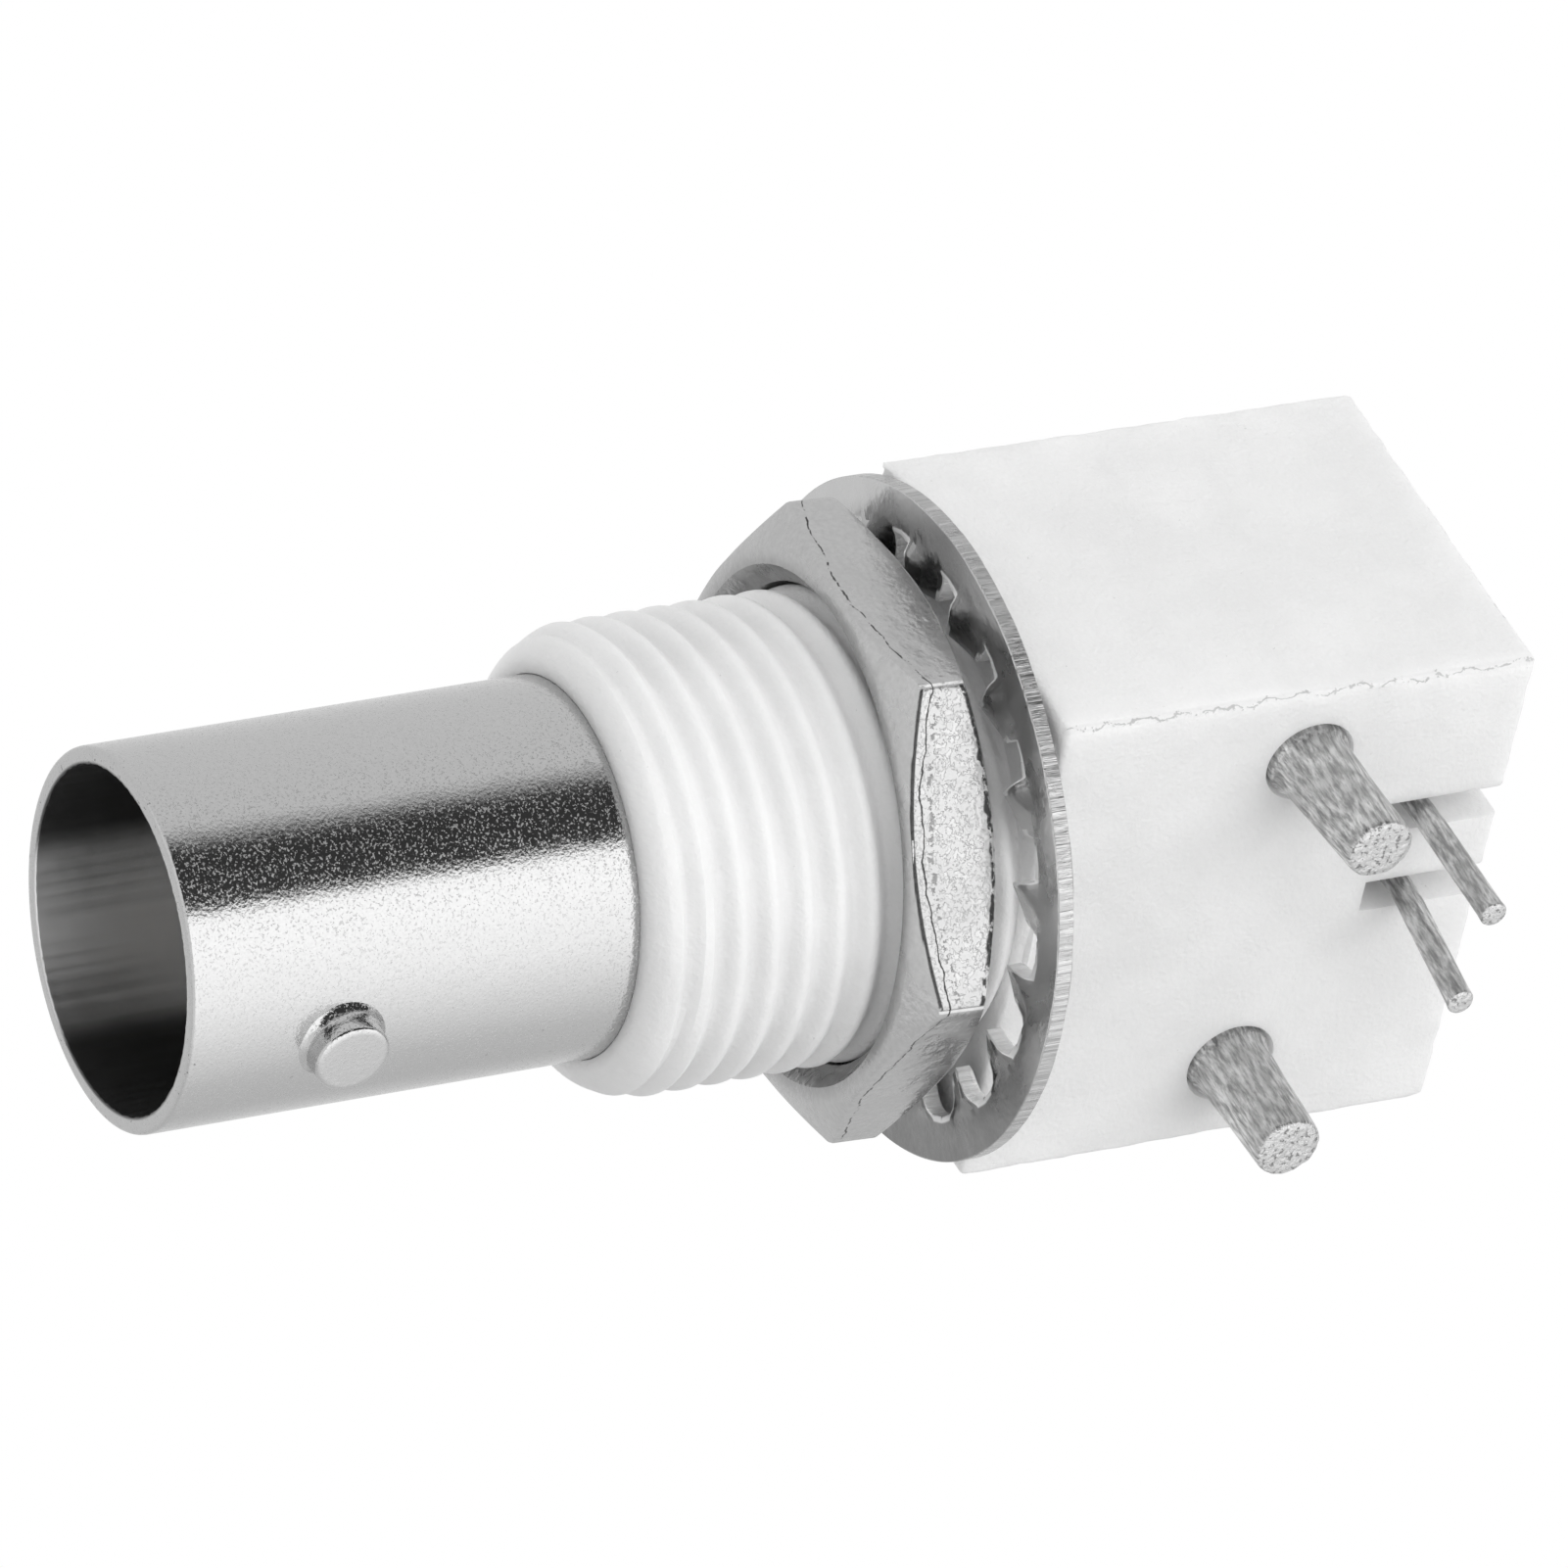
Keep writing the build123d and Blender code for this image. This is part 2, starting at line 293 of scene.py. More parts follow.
def white_plastic():
    """Chalky white moulding: crumbs of flash along two of the block's edges, the lower one also greyer with
    painted shade that damps the light on its rounded edge.
    """
    made, tree, shader, place = start_material("white moulding", Subsurface_Weight=0.65,
                                               Subsurface_Scale=0.0009, Subsurface_Radius=(1.0, 1.0, 1.0),
                                               Specular_IOR_Level=0.35)
    x, y, z = parts(tree, place)
    slope = BLOCK_TAPER / (BLOCK_BACK - BLOCK_FRONT)
    side = calc(tree, "ADD", calc(tree, "MULTIPLY_ADD", y, slope, x), -BLOCK_FRONT * slope - BLOCK_SIDE)
    field = noise_field(tree, place, 1.5, 5.0)
    waver = calc(tree, "MULTIPLY_ADD", field, 0.9, -0.45)
    broken = use(tree, SPECKS, place, Scale=2.4, Cover=0.56, Softness=0.06)
    crumbs = use(tree, SPECKS, place, Scale=7.0, Cover=0.44, Softness=0.05)
    back = calc(tree, "SUBTRACT", BLOCK_BACK, y)
    thin = use(tree, EDGE_LINE, First_distance=side, Second_distance=z, Width=0.04,
               Waver=waver, Specks=broken)
    loose = use(tree, EDGE_LINE, First_distance=side, Second_distance=z, Width=0.14,
                Waver=waver, Specks=crumbs)
    dots = use(tree, EDGE_LINE, First_distance=side, Second_distance=back, Width=0.08,
               Waver=0.0, Specks=crumbs)
    dirt = calc(tree, "MAXIMUM", thin, calc(tree, "MAXIMUM", loose, dots))
    rare = use(tree, SPECKS, place, Scale=3.4, Cover=0.29, Softness=0.02)
    dirt = calc(tree, "MAXIMUM", dirt, calc(tree, "MULTIPLY", rare, 0.5))
    level = use(tree, TONE, place, Scale=0.35)
    white = blend_colour(tree, level, grey(0.80), grey(0.85))
    # painted shade: a grey band along the lower rounded edge damps the light that this edge catches
    edge_painted_shade = use(tree, EDGE_LINE, First_distance=side, Second_distance=z, Width=0.2, Waver=0.0)
    white = blend_colour(tree, edge_painted_shade, white, grey(0.75))
    tree.links.new(blend_colour(tree, dirt, white, grey(0.48)), shader.inputs["Base Color"])
    tree.links.new(use(tree, TONE, place, Scale=1.5, Low=0.42, High=0.6),
                   shader.inputs["Roughness"])
    fine = use(tree, TONE, place, Scale=7.0)
    relief(tree, shader, calc(tree, "ADD", fine, use(tree, TONE, place, Scale=1.1)), 0.012)
    return made


def bright_nickel():
    """Plated barrel: bright, with crumbs of grain that break up what it mirrors, and a bore darkened toward
    its top and bottom by painted shade.
    """
    made, tree, shader, place = start_material("bright nickel", Metallic=1.0)
    grain = noise_field(tree, place, 12.0, 3.0)
    crumbs = use(tree, SPECKS, place, Scale=14.0, Cover=0.43, Softness=0.05)
    pits = use(tree, SPECKS, place, Scale=3.0, Cover=0.31, Softness=0.04)
    nicks = use(tree, SPECKS, place, Scale=6.0, Cover=0.36, Softness=0.04)
    x, y, z = parts(tree, place)
    up = calc(tree, "SUBTRACT", z, AXIS_HEIGHT)
    radius = hypotenuse(tree, x, up)
    inside = ramp(tree, radius, 4.45, 4.36)
    rim = calc(tree, "MULTIPLY", ramp(tree, y, MOUTH + 0.3, MOUTH + 0.12), nicks)
    level = blend_colour(tree, grain, grey(0.49), grey(0.58))
    level = blend_colour(tree, calc(tree, "MULTIPLY", pits, 0.6), level, grey(0.3))
    level = blend_colour(tree, rim, level, grey(0.2))
    # painted shade: the bore is darkened toward its top and bottom, standing in for the dark surroundings it
    # mirrors
    across = calc(tree, "MULTIPLY_ADD", x, 0.77, calc(tree, "MULTIPLY", up, 0.64))
    bore_shade = ramp(tree, calc(tree, "ABSOLUTE", across), 1.8, 2.7)
    shaded_bore = blend_colour(tree, bore_shade, grey(0.6), grey(0.09))
    tree.links.new(blend_colour(tree, inside, level, shaded_bore), shader.inputs["Base Color"])
    rough = use(tree, TONE, place, Scale=2.0, Low=0.07, High=0.11)
    outside = calc(tree, "MULTIPLY", crumbs, calc(tree, "SUBTRACT", 1.0, inside))
    rough = calc(tree, "ADD", rough, calc(tree, "MULTIPLY", outside, 0.34))
    tree.links.new(calc(tree, "MULTIPLY_ADD", inside, 0.33, rough), shader.inputs["Roughness"])
    slow = use(tree, TONE, place, Scale=0.9)
    height = calc(tree, "ADD", calc(tree, "MULTIPLY", slow, 0.5), grain)
    height = calc(tree, "MULTIPLY", height, calc(tree, "SUBTRACT", 1.0, inside))
    relief(tree, shader, calc(tree, "ADD", height, calc(tree, "MULTIPLY", outside, 0.3)), 0.007)
    return made


def satin_nickel(name, low, high, rough, grain_scale):
    """The start of a tumbled, plated metal: its material, base colour and height before any marks."""
    made, tree, shader, place = start_material(name, Metallic=1.0)
    grain = noise_field(tree, place, grain_scale, 4.0)
    level = blend_colour(tree, grain, grey(low), grey(high))
    patch = use(tree, TONE, place, Scale=0.8, Low=rough - 0.06, High=rough + 0.08)
    tree.links.new(patch, shader.inputs["Roughness"])
    slow = use(tree, TONE, place, Scale=1.2)
    return made, tree, shader, place, level, calc(tree, "MULTIPLY_ADD", slow, 1.5, grain)


def marked(tree, name):
    """A value stored on the mesh."""
    return node(tree, "ShaderNodeAttribute", attribute_name=name).outputs["Fac"]


def scratch_and_shade_line(tree, distance, middle, width, specks):
    """A line where a distance is near its middle, only on specks."""
    off = calc(tree, "ABSOLUTE", calc(tree, "SUBTRACT", distance, middle))
    return calc(tree, "MULTIPLY", ramp(tree, off, width, width * 0.4), specks)


def nut_nickel():
    """Satin nickel with painted shade toward the bore, and dark lines along its edges that are partly
    scratches and partly painted shadow of a small step at the chamfer; one flat is coarse and sparkles.
    """
    made, tree, shader, place, level, height = satin_nickel("nut nickel", 0.44, 0.58, 0.26, 7.0)
    edge = marked(tree, "edge")
    back = marked(tree, "rear")
    coarse = marked(tree, "coarse")
    x, _, z = parts(tree, place)
    up = calc(tree, "SUBTRACT", z, AXIS_HEIGHT)
    radius = hypotenuse(tree, x, up)
    # painted shade: darker toward the bore, where the countersink lies in shade
    level = blend_colour(tree, ramp(tree, radius, 6.95, 6.45, 0.0, 0.5), level, grey(0.22))
    field = noise_field(tree, place, 1.4, 5.0)
    waver = calc(tree, "MULTIPLY_ADD", field, 0.4, -0.2)
    wavy = calc(tree, "ADD", edge, waver)
    broken = use(tree, SPECKS, place, Scale=3.5, Cover=0.58, Softness=0.08)
    solid = calc(tree, "MAXIMUM", broken, coarse)
    crumbs = use(tree, SPECKS, place, Scale=7.0, Cover=0.5, Softness=0.06)
    # the dark lines along the chamfer edges are partly scratches and partly painted shadow of a small step
    # there, thickest on the coarse flat
    lines = scratch_and_shade_line(tree, wavy, 0.27, 0.03, solid)
    bold = calc(tree, "MULTIPLY", scratch_and_shade_line(tree, edge, 0.02, 0.075, solid), coarse)
    faint = calc(tree, "MULTIPLY", coarse, 0.6)
    jagged = calc(tree, "MULTIPLY", scratch_and_shade_line(tree, wavy, 0.5, 0.1, crumbs), faint)
    rear = calc(tree, "MULTIPLY", scratch_and_shade_line(tree, calc(tree, "ADD", back, waver), -0.06, 0.09, broken), coarse)
    marks_and_shade = calc(tree, "MAXIMUM", calc(tree, "MAXIMUM", lines, bold), calc(tree, "MAXIMUM", jagged, rear))
    tree.links.new(blend_colour(tree, marks_and_shade, level, grey(0.06)), shader.inputs["Base Color"])
    sparkle = calc(tree, "MULTIPLY", crumbs, calc(tree, "MULTIPLY", coarse, 0.35))
    relief(tree, shader, calc(tree, "ADD", height, sparkle), 0.014)
    return made


def washer_nickel():
    """Rolled faces, paler toward the +X side by painted light, with sheared edges lined across and painted
    glints along the burrs at the teeth.
    """
    made, tree, shader, place, level, height = satin_nickel("washer nickel", 0.21, 0.27, 0.28, 6.0)
    sheared = marked(tree, "sheared")
    lines = use(tree, STREAKS, place, Stretch=(1.0, 0.04, 1.0), Scale=9.0)
    bright = blend_colour(tree, lines, grey(0.42), grey(0.6))
    x, _, z = parts(tree, place)
    raised = calc(tree, "SUBTRACT", z, WASHER_Z)
    toward = calc(tree, "MULTIPLY_ADD", x, 0.77, calc(tree, "MULTIPLY", raised, 0.64))
    aside = calc(tree, "MULTIPLY_ADD", x, 0.64, calc(tree, "MULTIPLY", raised, -0.77))
    # painted light: the faces are made paler toward +X and to one side, standing in for the light they
    # mirror there
    level = blend_colour(tree, ramp(tree, toward, 1.0, 6.0, 0.0, 0.6), level, grey(0.42))
    level = blend_colour(tree, ramp(tree, aside, 4.6, 6.6), level, grey(0.6))
    level = blend_colour(tree, ramp(tree, toward, 6.9, 8.1), level, grey(0.62))
    level = blend_colour(tree, sheared, level, bright)
    # painted glint: the burrs at the tooth tips are near-white and hardly metallic, so they shine as if
    # catching the light
    burr_glint = marked(tree, "burr_glint")
    level = blend_colour(tree, ramp(tree, burr_glint, 0.4, 0.9), level, grey(0.9))
    tree.links.new(level, shader.inputs["Base Color"])
    tree.links.new(ramp(tree, burr_glint, 0.4, 0.9, 1.0, 0.2), shader.inputs["Metallic"])
    cut = calc(tree, "MULTIPLY", lines, calc(tree, "MULTIPLY", sheared, 2.0))
    relief(tree, shader, calc(tree, "ADD", height, cut), 0.010)
    return made


def tinned_metal(name, scale, end):
    """Tinned wire with short streaks drawn along it and a rough, pitted cut end below a height."""
    made, tree, shader, place = start_material(name, Metallic=1.0)
    drawn = use(tree, STREAKS, place, Stretch=(1.0, 1.0, 0.2), Scale=scale)
    blotch = use(tree, TONE, place, Scale=1.6, Low=0.55, High=1.0)
    level = blend_colour(tree, calc(tree, "MULTIPLY", drawn, blotch), grey(0.3), grey(0.9))
    pits = use(tree, SPECKS, place, Scale=6.5, Cover=0.45, Softness=0.08)
    z = parts(tree, place)[2]
    cut = ramp(tree, z, end + 0.03, end)
    level = blend_colour(tree, cut, level, blend_colour(tree, pits, grey(0.62), grey(0.28)))
    tree.links.new(level, shader.inputs["Base Color"])
    tree.links.new(ramp(tree, drawn, 0.0, 1.0, 0.3, 0.48), shader.inputs["Roughness"])
    rough = calc(tree, "MULTIPLY", pits, cut)
    relief(tree, shader, calc(tree, "ADD", drawn, rough), 0.018)
    return made


def dielectric():
    """Smooth waxy white insulator."""
    made, tree, shader, place = start_material("dielectric")
    level = use(tree, TONE, place, Scale=0.6)
    tree.links.new(blend_colour(tree, level, grey(0.72), grey(0.8)), shader.inputs["Base Color"])
    tree.links.new(use(tree, TONE, place, Scale=3.0, Low=0.3, High=0.42),
                   shader.inputs["Roughness"])
    rings = use(tree, STREAKS, place, Stretch=(0.02, 1.0, 0.02), Scale=6.0)
    relief(tree, shader, rings, 0.006)
    return made


def gold_plate():
    """Gold plated contact with turned marks."""
    made, tree, shader, place = start_material("gold plate", Metallic=1.0)
    level = use(tree, TONE, place, Scale=1.5)
    tree.links.new(blend_colour(tree, level, (0.80, 0.55, 0.20, 1), (0.90, 0.66, 0.28, 1)),
                   shader.inputs["Base Color"])
    tree.links.new(use(tree, TONE, place, Scale=4.0, Low=0.2, High=0.32),
                   shader.inputs["Roughness"])
    rings = use(tree, STREAKS, place, Stretch=(0.02, 1.0, 0.02), Scale=8.0)
    relief(tree, shader, rings, 0.004)
    return made


# Mesh helpers

def plain_object(name, points, faces):
    """An object from points in millimetres."""
    mesh = bpy.data.meshes.new(name)
    mesh.from_pydata([(x * MM, y * MM, z * MM) for x, y, z in points], [], faces)
    made = bpy.data.objects.new(name, mesh)
    bpy.context.scene.collection.objects.link(made)
    return made


def face_outwards(made, merge):
    """Turns every face outwards, after merging points that coincide if asked."""
    work = bmesh.new()
    work.from_mesh(made.data)
    if merge:
        bmesh.ops.remove_doubles(work, verts=work.verts, dist=1e-8)
    bmesh.ops.recalc_face_normals(work, faces=work.faces)
    work.to_mesh(made.data)
    work.free()
    return made


def mesh_object(name, points, faces):
    """A closed object from points in millimetres, with its normals outwards."""
    return face_outwards(plain_object(name, points, faces), True)


def bake_modifiers(made):
    """The object's evaluated shape becomes its plain mesh, and its modifiers go."""
    evaluated = made.evaluated_get(bpy.context.evaluated_depsgraph_get())
    mesh = bpy.data.meshes.new_from_object(evaluated)
    made.modifiers.clear()
    made.data = mesh
    return made


def combine(made, other, operation="DIFFERENCE"):
    """A boolean of two closed meshes, a cut unless said otherwise; the other one is used up."""
    cut = made.modifiers.new("combine", "BOOLEAN")
    cut.operation = operation
    cut.solver = "MANIFOLD"
    cut.object = other
    bake_modifiers(made)
    bpy.data.objects.remove(other)
    return made


def store(made, name, kind, values):
    """Keeps one value for each point of the mesh."""
    made.data.attributes.new(name, kind, "POINT").data.foreach_set("value", values)


def complete(made, body, node_name, material, angle=32.0):
    """Smooth shading, material, and the piece's place in the frame."""
    made.data.materials.clear()
    made.data.materials.append(material)
    made.data.shade_smooth()
    made.data.set_sharp_from_angle(angle=radians(angle))
    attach(made, body)
    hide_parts(node_name)
    return made


def rounded(corners, radius, steps=4, closed=True):
    """An outline with its corners rounded; a corner may give its own radius as a third number."""
    done = []
    count = len(corners)
    for index, corner in enumerate(corners):
        here = Vector(corner[:2])
        if not closed and index in (0, count - 1):
            done.append(tuple(here))
            continue
        before = Vector(corners[index - 1][:2]) - here
        after = Vector(corners[(index + 1) % count][:2]) - here
        wanted = corner[2] if len(corner) > 2 else radius
        size = min(wanted, 0.45 * before.length, 0.45 * after.length)
        start = here + before.normalized() * size
        end = here + after.normalized() * size
        for step in range(steps + 1):
            t = step / steps
            done.append(tuple(start * (1 - t) ** 2 + here * 2 * t * (1 - t) + end * t * t))
    return done


def held(value, low=0.0, high=1.0):
    """A value kept between two limits."""
    return min(max(value, low), high)


def eased(share):
    """A share from 0 to 1 with soft ends."""
    return share * share * (3 - 2 * share)


def around(count):
    """Evenly spaced angles of a full turn."""
    return [2 * pi * index / count for index in range(count)]


def skin(rows, columns, closed):
    """Quads of a grid whose columns close on themselves, and its rows too if closed."""
    faces = []
    for row in range(rows if closed else rows - 1):
        above = (row + 1) % rows
        for column in range(columns):
            right = (column + 1) % columns
            faces.append((row * columns + column, row * columns + right,
                          above * columns + right, above * columns + column))
    return faces


def turned(name, outline, count=192, wobble=None):
    """A ring turned about the barrel's axis from a closed outline of (radius, y)."""
    points = []
    for radius, y in outline:
        for angle in around(count):
            r = radius + (wobble(radius, y, angle) if wobble else 0.0)
            points.append((r * cos(angle), y, AXIS_HEIGHT + r * sin(angle)))
    return mesh_object(name, points, skin(len(outline), count, True))


def capped(name, rings):
    """A solid from rings of points, closed by a middle point at each end."""
    count = len(rings[0])
    points = [point for ring in rings for point in ring]
    faces = skin(len(rings), count, False)
    for ring, start in ((rings[0], 0), (rings[-1], len(points) - count)):
        middle = len(points)
        points.append(tuple(sum(axis) / count for axis in zip(*ring)))
        faces += [(start + index, start + (index + 1) % count, middle) for index in range(count)]
    return mesh_object(name, points, faces)


def nodes_modifier(made, tree, values):
    """Runs a geometry node group on the object, its inputs set by their identifiers."""
    modifier = made.modifiers.new(tree.name, "NODES")
    modifier.node_group = tree
    for item in tree.interface.items_tree:
        if item.item_type == "SOCKET" and item.in_out == "INPUT" and item.name in values:
            modifier[item.identifier] = values[item.name]
    return bake_modifiers(made)


# Geometry node groups

def stored(tree, name, kind):
    """A value that the mesh carries."""
    return node(tree, "GeometryNodeInputNamedAttribute", {"Name": name}, data_type=kind).outputs[0]


def dressed(tree, shape, given, out):
    """Ends a geometry group with real meshes and their material."""
    whole = node(tree, "GeometryNodeRealizeInstances", {"Geometry": shape}).outputs[0]
    last = node(tree, "GeometryNodeSetMaterial", {"Geometry": whole, "Material": given["Finish"]})
    tree.links.new(last.outputs[0], out["Geometry"])
    return tree


def thread_tree():
    """Cuts a right-hand thread into the marked points of a turned surface."""
    tree, given, out = group_tree("Thread", "GeometryNodeTree", {
        "Geometry": GEOMETRY, "Pitch": THREAD_PITCH * MM, "Depth": THREAD_DEPTH * MM,
        "Crest radius": 0.006, "Side": 1.0, "Start": 0.0, "Axis height": AXIS_HEIGHT * MM,
        "Blend": 0.00005, "Finish": "NodeSocketMaterial"}, "Geometry", GEOMETRY)
    place = node(tree, "GeometryNodeInputPosition").outputs[0]
    x, y, z = parts(tree, place)
    up = calc(tree, "SUBTRACT", z, given["Axis height"])
    turn = calc(tree, "DIVIDE", calc(tree, "ARCTAN2", up, x), 2 * pi)
    along = calc(tree, "ADD", calc(tree, "DIVIDE", y, given["Pitch"]), given["Start"])
    phase = calc(tree, "MULTIPLY", calc(tree, "ADD", along, turn), 2 * pi)
    wave = calc(tree, "MULTIPLY_ADD", calc(tree, "COSINE", phase), -0.5, 0.5)
    groove = calc(tree, "MULTIPLY", calc(tree, "POWER", wave, 1.1), given["Depth"])
    limit = calc(tree, "SUBTRACT", given["Crest radius"], calc(tree, "MULTIPLY", groove, given["Side"]))
    radius = hypotenuse(tree, x, up)
    nearer = calc(tree, "SMOOTH_MIN", calc(tree, "MULTIPLY", radius, given["Side"]),
                  calc(tree, "MULTIPLY", limit, given["Side"]), given["Blend"])
    share = calc(tree, "DIVIDE", calc(tree, "MULTIPLY", nearer, given["Side"]), radius)
    risen = calc(tree, "MULTIPLY_ADD", up, share, given["Axis height"])
    moved = node(tree, "ShaderNodeCombineXYZ", {0: calc(tree, "MULTIPLY", x, share), 1: y, 2: risen})
    threaded = stored(tree, "threaded", "BOOLEAN")
    cut = node(tree, "GeometryNodeSetPosition", {"Geometry": given["Geometry"],
               "Selection": threaded, "Position": moved.outputs[0]}).outputs[0]
    return dressed(tree, cut, given, out)


def tooth_ring_tree():
    """Repeats one tooth's sector round the washer, joins the sectors and bends each tooth its own way."""
    tree, given, out = group_tree("Ring of teeth", "GeometryNodeTree", {
        "Geometry": GEOMETRY, "Teeth": TOOTH_COUNT, "Centre": ORIGIN, "Unevenness": 0.00005,
        "Seed": 3, "Finish": "NodeSocketMaterial"}, "Geometry", GEOMETRY)
    spots = node(tree, "GeometryNodeMeshLine", {"Count": given["Teeth"], "Offset": (0.0, 0.0, 0.0)})
    index = node(tree, "GeometryNodeInputIndex").outputs[0]
    step = calc(tree, "DIVIDE", 2 * pi, given["Teeth"])
    angle = calc(tree, "MULTIPLY", index, step)
    turn = node(tree, "ShaderNodeCombineXYZ", {1: angle}).outputs[0]
    bend = node(tree, "FunctionNodeRandomValue", {"Seed": given["Seed"], "ID": index},
                data_type="FLOAT")
    bend.inputs[2].default_value = -1.0
    bend.inputs[3].default_value = 1.0
    noted = node(tree, "GeometryNodeStoreNamedAttribute", {"Geometry": spots.outputs[0], "Name": "bend",
                 "Value": bend.outputs[1]}, data_type="FLOAT", domain="POINT").outputs[0]
    copies = node(tree, "GeometryNodeInstanceOnPoints", {"Points": noted, "Rotation": turn,
                  "Instance": given["Geometry"]}).outputs[0]
    whole = node(tree, "GeometryNodeRealizeInstances", {"Geometry": copies}).outputs[0]
    amount = calc(tree, "MULTIPLY", stored(tree, "bend", "FLOAT"), given["Unevenness"])
    push = calc(tree, "MULTIPLY", stored(tree, "reach", "FLOAT"), amount)
    offset = node(tree, "ShaderNodeCombineXYZ", {1: push}).outputs[0]
    bent = node(tree, "GeometryNodeSetPosition", {"Geometry": whole, "Offset": offset}).outputs[0]
    joined = node(tree, "GeometryNodeMergeByDistance", {"Geometry": bent, "Distance": 0.000002}).outputs[0]
    moved = node(tree, "GeometryNodeTransform", {"Geometry": joined, "Translation": given["Centre"]})
    return dressed(tree, moved.outputs[0], given, out)


# The white moulding

def grid_lines(low, high, edge, step):
    """Positions along one side of the block: fine at both rounded ends, even between."""
    ends = [edge * share for share in (0.0, 0.25, 0.5, 0.75, 1.0)]
    count = int((high - low - 2 * edge) / step)
    between = [low + edge + (high - low - 2 * edge) * index / count for index in range(1, count)]
    return [low + end for end in ends] + between + [high - end for end in reversed(ends)]


def block():
    """The block with its small round edges, a little ragged along them."""
    low = Vector((-BLOCK_SIDE, BLOCK_FRONT, 0.0))
    high = Vector((BLOCK_SIDE, BLOCK_BACK, BLOCK_TOP))
    lines = [grid_lines(low[axis], high[axis], BLOCK_EDGE, 0.3) for axis in range(3)]
    points = []
    faces = []
    for axis in range(3):
        first, second = [other for other in range(3) if other != axis]
        for side in (low[axis], high[axis]):
            base = len(points)
            for a in lines[first]:
                for b in lines[second]:
                    point = Vector((0.0, 0.0, 0.0))
                    point[axis], point[first], point[second] = side, a, b
                    points.append(point)
            width = len(lines[second])
            for i in range(len(lines[first]) - 1):
                for j in range(width - 1):
                    at = base + i * width + j
                    faces.append((at, at + 1, at + width + 1, at + width))
    shaped = []
    for point in points:
        inner = Vector([held(point[k], low[k] + BLOCK_EDGE, high[k] - BLOCK_EDGE) for k in range(3)])
        away = point - inner
        near_edges = sum(abs(value) > 1e-6 for value in away)
        size = BLOCK_EDGE
        if near_edges > 1:
            size += 0.035 * noise.noise(point * 1.7) + 0.02 * noise.noise(point * 6.0)
        shaped.append(settled(inner + away.normalized() * size))
    return mesh_object("moulding", shaped, faces)


def settled(point):
    """Tapers the block's right half toward its back and raises a crumb of flash at one front corner."""
    x, y, z = point
    if x > 0.0:
        x *= 1.0 - BLOCK_TAPER / BLOCK_SIDE * (y - BLOCK_FRONT) / (BLOCK_BACK - BLOCK_FRONT)
    away = (Vector((x, y, z)) - Vector((BLOCK_SIDE, BLOCK_FRONT, BLOCK_TOP))).length
    crumb = max(0.0, 1.0 - away / 0.7)
    return Vector((x, y - crumb * (0.24 + 0.4 * noise.noise(Vector((x, y, z)) * 4.0)), z))


def bushing():
    """The bushing's turned blank, its outer face marked for the thread."""
    steps, count = 160, 200
    outline = rounded([(4.4, BUSHING_FRONT), (5.14, BUSHING_FRONT, 0.12), (5.36, -16.95), (5.62, -16.7),
                       (5.82, -16.3), (CREST_RADIUS, -15.95), (CREST_RADIUS, -15.6)], 0.1, 3, False)
    start = outline[-1][1]
    outline += [(CREST_RADIUS, start + (BUSHING_BACK - start) * index / steps)
                for index in range(1, steps + 1)]
    made = plug("bushing", outline, count, (0.0, AXIS_HEIGHT), False)
    threaded = []
    for vertex in made.data.vertices:
        x, y, z = vertex.co / MM
        threaded.append(hypot(x, z - AXIS_HEIGHT) > 5.2 and y < BLOCK_FRONT + 0.3)
    store(made, "threaded", "BOOLEAN", threaded)
    return made


def box(name, low, high):
    """A square-cornered block between two corners."""
    corners = [(x, y, z) for x in (low[0], high[0]) for y in (low[1], high[1]) for z in (low[2], high[2])]
    return mesh_object(name, corners, [(0, 1, 3, 2), (4, 6, 7, 5), (0, 4, 5, 1), (2, 3, 7, 6),
                                       (0, 2, 6, 4), (1, 5, 7, 3)])


def plug(name, outline, count, middle, upright):
    """A solid turned about Y, or about Z if upright, from an open outline of (radius, place)."""
    rings = []
    for radius, place in outline:
        if upright:
            rings.append([(middle[0] + radius * cos(a), middle[1] + radius * sin(a), place)
                          for a in around(count)])
        else:
            rings.append([(middle[0] + radius * cos(a), place, middle[1] + radius * sin(a))
                          for a in around(count)])
    return capped(name, rings)


def lead_path(x, start, height):
    """The centre line of a bent lead: back along Y, then round a wide arc to just above the board face."""
    reach = height - 0.1
    path = [(start + (PIN_Y - reach - start) * index / 6) for index in range(6)]
    line = [((x, y, height), (0.0, 1.0)) for y in path]
    for index in range(25):
        turn = pi / 2 * index / 24
        line.append(((x, PIN_Y - reach + reach * sin(turn), 0.1 + reach * cos(turn)),
                     (cos(turn), -sin(turn))))
    return line


def lead_rings(line, radius, count):
    """Rings of points square to a line in the YZ plane."""
    rings = []
    for (x, y, z), (dy, dz) in line:
        rings.append([(x + radius * cos(a), y - radius * sin(a) * dz, z + radius * sin(a) * dy)
                      for a in around(count)])
    return rings


